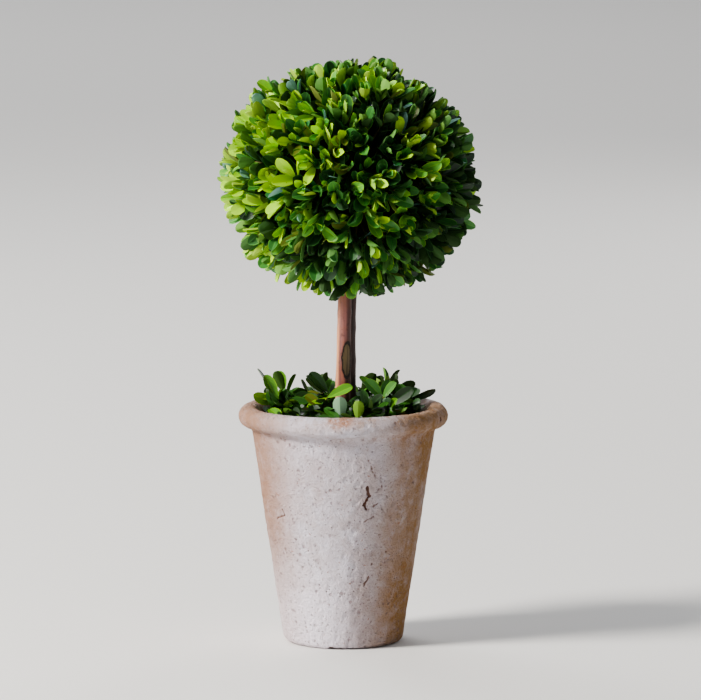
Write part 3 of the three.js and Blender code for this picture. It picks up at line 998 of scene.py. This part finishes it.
def growBall():
    leaves = []
    twigs = []
    for i in range(ball["boughs"]):
        draw = seeded(1000 + i)
        direction = ballDirection(i, draw)
        fork = ball["centre"] + up * (direction.z * ball["reach"].z * ball["forkShare"])
        boughEnd = atShare(direction, ball["boughShare"])
        bough = (fork, fork.lerp(boughEnd, ball["boughMiddle"]), boughEnd)
        twigs.append(list(zip(bough, ball["boughRadii"])))
        start = draw() * fullTurn
        for k in range(ball["sprigs"]):
            turn = start + k * fullTurn / ball["sprigs"] + swung(draw, ball["fanSwing"])
            fan = math.radians(ball["fan"] * between(ball["fanShare"], draw()))
            sprigWay = leaning(direction, fan, turn)
            reach = clippedReach(sprigWay) + (ball["strayReach"] if draw() < ball["strays"] else 0)
            end = atShare(sprigWay, between(ball["sprigShare"], draw()) * reach)
            if clearOfStems(end) < ball["sprigRoom"]:
                continue
            along = (end - boughEnd).normalized()
            bend, bendTurn = ball["sprigBend"]
            middle = boughEnd.lerp(end, 0.5) + leaning(along, quarterTurn, draw() * bendTurn) * bend
            twigs.append(list(zip((boughEnd, middle, end), ball["sprigRadii"])))
            leaves += pairedLeaves(ball, boughEnd, end, along, ballLevel(sprigWay, draw), fitsBall, draw)
    return leaves, twigs


# The ball's core is dark moss: painted shade that shows as near black in the gaps between the leaves
def makeBallCore():
    bm = bmesh.new()
    bmesh.ops.create_icosphere(bm, subdivisions=5, radius=1)
    fineness, size = ball["coreRough"]
    for vert in bm.verts:
        way = vert.co.normalized()
        rough = 1 + size * noise.fractal(way * fineness, 1.0, 2.0, 3)
        vert.co = atShare(way, ball["coreShare"] * rough)
    return pieceFromBmesh("ballCore", bm, mossMaterial("innerMossPaintedShade", 0.35), *ballMass)


def mossMaterial(name, brightness):
    material, tree, shader = newMaterial(name, 0.95, 0.1)
    grain = mottle(tree, objectPoint(tree), 160.0, 1200.0)["Grain"]
    dark, light = rgb(30, 34, 14), rgb(86, 88, 40)
    dark, light = ([c * brightness for c in colour[:3]] + [1] for colour in (dark, light))
    setSurface(tree, shader, mixOf(tree, grain, dark, light), grain, 0.9, 0.0015)
    return material


makeBallCore()
ballLeaves, ballTwigs = growBall()
print(len(ballLeaves), "leaves and", len(ballTwigs), "twigs in the ball")
third = len(ballLeaves) // 3 + 1
for k, height in enumerate(("Low", "Middle", "High")):
    part = ballLeaves[(2 - k) * third : (3 - k) * third]
    leafPiece("ballLeaves" + height, part, ballLeafKinds, *ballMass)
twigPiece("ballTwigs", ballTwigs, *ballMass)


print("bed and sprigs in the pot")
bed = {
    "radius": 56.6,
    "edgeHeight": 1.5,
    "middleHeight": 7,
    "lumps": (0.16, 1.6),  # fineness and size
    "tufts": (0.75, 2.2),
    "edgeLumps": 0.2,
    "rows": 62,
    "around": 230,
    "sprigs": 26,
    "room": 13,  # between feet
    "footRoom": 6,  # from a foot to a stem
    "tilt": (25, 58),
    "turn": 2.4,
    "level": 0.45,
    "sprigLength": 12,
    "sprigMiddle": 5,
    "rooted": 3,
    "twigRadii": (1.0, 0.8, 0.5),
    "pairs": ((0.25, 56, 0), (0.6, 44, 0), (1.0, 20, 0)),
    "spreadSwing": 16,
    "stalk": 0,
    "length": (15, 20),
    "endLeaves": 1,
    "width": (0.4, 0.52),
    # where leaves may go: radius, height over the ground, and room from rim, wall and stems
    "reach": 67,
    "height": (1, 30.5),
    "rimRoom": (3.0, 1.5),  # beside it and over it
    "wallRoom": 3,
    "stemRoom": 2,
    # loose leaves, which turn inward where they lie near the rim
    "litter": 300,
    "litterLength": (12, 19),
    "litterHeight": (0.5, 4.5),
    "litterTilt": (58, 86),
    "litterLevel": 0.35,
    "litterRoom": 3,
    "inwardFrom": 0.7,
    "inward": 1.4,
    # leaves of the front sprigs
    "cup": (0.15, 0.45),
    "curl": (-0.12, 0.02),
}
# Sprigs that stand over the front of the rim. The foot is (x, y) and the end (x, y, height over the ground).
# A leaf is the share of the twig it sits at, its heading and rise in degrees, length, width, tone and roll.
frontSprigs = [
    {"foot": (-42, -13), "end": (-46, -8, 16), "leaves": [
        (1.0, 176, 56, 24, 6.5, "bottleGreen", 55), (0.7, 168, 64, 21.5, 9, "springGreen", 10),
        (0.4, 205, 50, 15, 7, "grassGreen", -20), (0.9, 186, 14, 13, 5.5, "limeGreen", 0),
        (0.5, 262, 18, 15, 7, "boxGreen", 0), (0.45, 318, -4, 15, 6.5, "springGreen", 0)]},
    {"foot": (-17, 7), "end": (-10, 5, 17), "leaves": [
        (1.0, 181, 38, 20, 8, "bottleGreen", 35), (0.95, 165, 50, 20, 8.5, "deepGreen", 0),
        (0.5, 200, 14, 21, 8.5, "bottleGreen", 0), (0.7, 70, 42, 17, 8, "boxGreen", 0)]},
    {"foot": (-17, -31), "end": (-11, -23, 18), "leaves": [
        (1.0, 208, -24, 17, 6.5, "limeGreen", 0), (1.0, 8, 24, 19, 8, "springGreen", 0),
        (0.5, 172, 38, 15, 8, "olive", 0), (0.4, 20, 8, 16, 7.5, "bottleGreen", 0)]},
    {"foot": (-3, -43), "end": (-2, -47, 5), "leaves": [
        (1.0, 255, 84, 17.5, 10, "blueGreen", 178), (0.8, 195, 12, 16, 7, "boxGreen", 0)]},
    {"foot": (10, -44), "end": (10, -47, 5), "leaves": [
        (1.0, 280, 82, 15, 8, "springGreen", 170), (1.0, 12, 17, 20, 5.5, "grassGreen", 55),
        (0.5, 100, 35, 16, 7.5, "bottleGreen", 0)]},
    {"foot": (21, -8), "end": (27, -4, 15), "leaves": [
        (1.0, 190, 48, 17.5, 9, "grassGreen", 0), (1.0, 172, 42, 22, 7.5, "springGreen", 20),
        (0.9, 60, 46, 17, 8, "boxGreen", 0), (1.0, 342, 50, 15, 7.5, "grassGreen", -15),
        (0.4, 215, 20, 17, 8, "bottleGreen", 0)]},
    {"foot": (33, -24), "end": (30, -22, 12), "leaves": [
        (1.0, 356, 36, 21.5, 9, "deepGreen", 22), (0.6, 258, 52, 14, 6.5, "blueGreen", 150),
        (0.6, 292, 40, 15, 6, "springGreen", 20), (0.5, 322, 16, 16, 6, "grassGreen", 160),
        (0.8, 20, 10, 17, 7.5, "boxGreen", -35)]},
    {"foot": (43, 1), "end": (45, 0, 13), "leaves": [
        (1.0, 355, 20, 20, 6, "deepGreen", 66), (0.9, 62, 30, 16, 7.5, "bottleGreen", 0),
        (0.9, 130, 44, 16, 8, "boxGreen", 0), (0.6, 300, 18, 16, 7.5, "bottleGreen", 0)]},
]


def bedHeight(r):
    return ground + between((bed["middleHeight"], bed["edgeHeight"]), (r / bed["radius"]) ** 2)


def fitsPot(root, direction, length):
    roomBeside, roomOver = bed["rimRoom"]
    low, high = bed["height"]
    for share in (0.35, 0.6, 0.8, 1.0):
        p = root + direction * (length * share)
        r = math.hypot(p.x, p.y)
        aboveRim = p.z - pot["rimHeight"]
        besideRim = (r - pot["rimRadius"]) / (pot["rimHalfWidth"] + roomBeside)
        offRim = math.hypot(besideRim, aboveRim / (pot["rimHalfHeight"] + roomOver)) > 1
        inPot = aboveRim > 0 or r < innerRadius(p.z) - bed["wallRoom"]
        inReach = r < bed["reach"] and ground + low < p.z < ground + high
        if not (offRim and inPot and inReach and clearOfStems(p) > bed["stemRoom"]):
            return False
    return True


def footAt(x, y):
    return Vector((x, y, bedHeight(math.hypot(x, y))))


def footRound(r, around):
    return footAt(r * math.cos(around), r * math.sin(around))


def frontSprigLeaves(sprig, draw):
    foot = footAt(*sprig["foot"])
    end = Vector(sprig["end"]) + up * ground
    towardsViewer = Vector((0, -0.75, 0.66))
    leaves = []
    for share, heading, rise, length, width, tone, roll in sprig["leaves"]:
        heading, rise = math.radians(heading), math.radians(rise)
        way = flatWay(heading) * math.cos(rise) + up * math.sin(rise)
        across = way.cross(towardsViewer).normalized()
        face = Matrix.Rotation(math.radians(roll), 3, way) @ across.cross(way)
        leaves.append({
            "root": foot.lerp(end, share), "direction": way, "face": face, "length": length, "width": width,
            "cup": between(bed["cup"], draw()), "curl": between(bed["curl"], draw()),
            "tone": toneNames.index(tone),
        })
    return leaves, list(zip((foot - up * bed["rooted"], foot.lerp(end, 0.5), end), bed["twigRadii"]))


# Sprigs on the rest of the bed: foot, direction and how light they are
def sprigPlaces():
    feet = [footAt(*sprig["foot"]) for sprig in frontSprigs]
    places = []
    for i in range(bed["sprigs"]):
        draw = seeded(4000 + i)
        r = (bed["radius"] - bed["room"] / 2) * math.sqrt((i + 0.5) / bed["sprigs"])
        around = i * goldenAngle
        foot = footRound(r, around)
        near = any((other - foot).length < bed["room"] for other in feet)
        if near or clearOfStems(foot) < bed["footRoom"]:
            continue
        feet.append(foot)
        tilt = math.radians(between(bed["tilt"], draw()))
        turn = around + swung(draw, bed["turn"])
        along = Vector((math.cos(turn) * math.sin(tilt), math.sin(turn) * math.sin(tilt), math.cos(tilt)))
        places.append((foot, along, bed["level"] * draw()))
    return places


# A loose leaf on the moss
def litterLeaf(i):
    draw = seeded(6000 + i)
    r = (bed["radius"] - bed["litterRoom"]) * math.sqrt(draw())
    around = i * goldenAngle
    foot = footRound(r, around)
    root = foot + up * between(bed["litterHeight"], draw())
    tilt = math.radians(between(bed["litterTilt"], draw()))
    way = leaning(up, tilt, draw() * fullTurn)
    inward = -flatWay(around)
    outward = -way.dot(inward)
    if r > bed["inwardFrom"] * bed["radius"] and outward > 0.1:
        way = (way + bed["inward"] * inward * outward).normalized()
    length = between(bed["litterLength"], draw())
    width = length * between(bed["width"], draw())
    tone = toneFor(bed["litterLevel"] * draw(), draw)
    return fittedLeaf(root, way, up, length, width, tone, fitsPot, draw)


def growBed():
    leaves = []
    twigs = []
    for i, sprig in enumerate(frontSprigs):
        grown, twig = frontSprigLeaves(sprig, seeded(5000 + i))
        leaves += grown
        twigs.append(twig)
    for i, (foot, along, level) in enumerate(sprigPlaces()):
        end = foot + along * bed["sprigLength"]
        places = (foot - along * bed["rooted"], foot + along * bed["sprigMiddle"], end)
        twigs.append(list(zip(places, bed["twigRadii"])))
        leaves += pairedLeaves(bed, foot, end, along, level, fitsPot, seeded(5100 + i))
    for i in range(bed["litter"]):
        leaves += litterLeaf(i)
    return leaves, twigs


# Sheet of moss with lumps and fine tufts, closed by a flat underside
def makeBed():
    rows = bed["rows"]
    points = [Vector((0, 0, ground)), Vector((bed["radius"], 0, ground))]
    points += [Vector((bed["radius"] * (1 - i / rows), 0, ground + 1)) for i in range(rows + 1)]
    bm = spun(points, bed["around"])
    for vert in bm.verts:
        if vert.co.z < ground + 0.5:
            continue
        r = math.hypot(vert.co.x, vert.co.y)
        flat = Vector((vert.co.x, vert.co.y, 0))
        lumps = noise.fractal(flat * bed["lumps"][0], 1.0, 2.0, 4) * bed["lumps"][1]
        lumps += abs(noise.noise(flat * bed["tufts"][0])) * bed["tufts"][1]
        vert.co.z = bedHeight(r) + (bed["edgeLumps"] if r > bed["radius"] - 0.5 else 1) * lumps
    return pieceFromBmesh("mossBed", bm, mossMaterial("potMoss", 1.0), *potMass)


makeBed()
potLeaves, potTwigs = growBed()
leafPiece("potLeaves", potLeaves, potLeafKinds, *potMass, marginSteps=1)
twigPiece("potTwigs", potTwigs, *potMass)


print("floor, lights and camera")
studio = {
    "floorSize": 16.0,
    "floorColour": rgb(226, 224, 220),
    "elevation": 7.5,
    "distance": 4.0,
    "sensor": 36,
    "objectShare": 0.88,  # of the frame's height
    "worldColour": (0.86, 0.9, 1.0, 1),
    "worldLight": 0.22,
}
white = (1.0, 1.0, 1.0)
aim = (0, 0, 0.22)
# Lights as a name, a place, what they point at, size, watts, colour and spread in degrees
lights = [
    ("keyLight", (-2.6, -1.15, 2.0), aim, 1.0, 215, (1.0, 0.97, 0.93), 180),
    ("fillLight", (1.4, -2.0, 0.8), aim, 1.6, 5, (0.94, 0.96, 1.0), 180),
    ("backLight", (-1.6, 2.1, 1.6), aim, 1.0, 14, white, 180),
    ("sideLight", (1.7, 2.5, 1.1), aim, 1.4, 22, white, 180),
    ("topLight", (-1.5, 5.5, 4.5), (0, 4, 0), 5, 170, white, 180),
]
# Three more light the floor alone
for k, (x, y) in enumerate(((-5.5, 0), (5.5, 0), (0, -5.5))):
    lights.append(("floorLight" + str(k), (x, y, 4.5), (x, y, 0), 3, 170, white, 90))


def makeFloor():
    bm = bmesh.new()
    bmesh.ops.create_grid(bm, x_segments=8, y_segments=8, size=studio["floorSize"] / 2)
    mesh = meshFromBmesh("floor", bm)
    mesh.materials.append(plainMaterial("paleFloor", studio["floorColour"], 0.7))
    floor = bpy.data.objects.new("floor", mesh)
    scene.collection.objects.link(floor)


def makeLight(name, place, target, size, watts, colour, spread):
    data = bpy.data.lights.new(name, "AREA")
    data.spread = math.radians(spread)
    data.shape = "DISK"
    data.size = size
    data.energy = watts
    data.color = colour
    light = bpy.data.objects.new(name, data)
    light.location = place
    light.rotation_euler = (Vector(target) - Vector(place)).to_track_quat("-Z", "Y").to_euler()
    scene.collection.objects.link(light)


def makeCamera():
    low, high = cadBox
    middle = (low + high) / 2
    tilt = math.radians(studio["elevation"])
    tall = (high.z - low.z) * math.cos(tilt) + (high.y - low.y) * math.sin(tilt)
    frameHeight = tall / studio["objectShare"]
    data = bpy.data.cameras.new("camera")
    data.sensor_width = studio["sensor"]
    data.lens = data.sensor_width * studio["distance"] / frameHeight
    camera = bpy.data.objects.new("camera", data)
    back = Vector((0, -math.cos(tilt), math.sin(tilt)))
    camera.location = middle + back * studio["distance"]
    camera.rotation_euler = (-back).to_track_quat("-Z", "Y").to_euler()
    scene.collection.objects.link(camera)
    scene.camera = camera


def makeWorld():
    world = bpy.data.worlds.new("studio")
    world.use_nodes = True
    background = world.node_tree.nodes["Background"]
    background.inputs["Color"].default_value = studio["worldColour"]
    background.inputs["Strength"].default_value = studio["worldLight"]
    scene.world = world


makeFloor()
for light in lights:
    makeLight(*light)
makeWorld()
makeCamera()
scene.view_settings.view_transform = "AgX"
scene.view_settings.look = "AgX - Medium High Contrast"
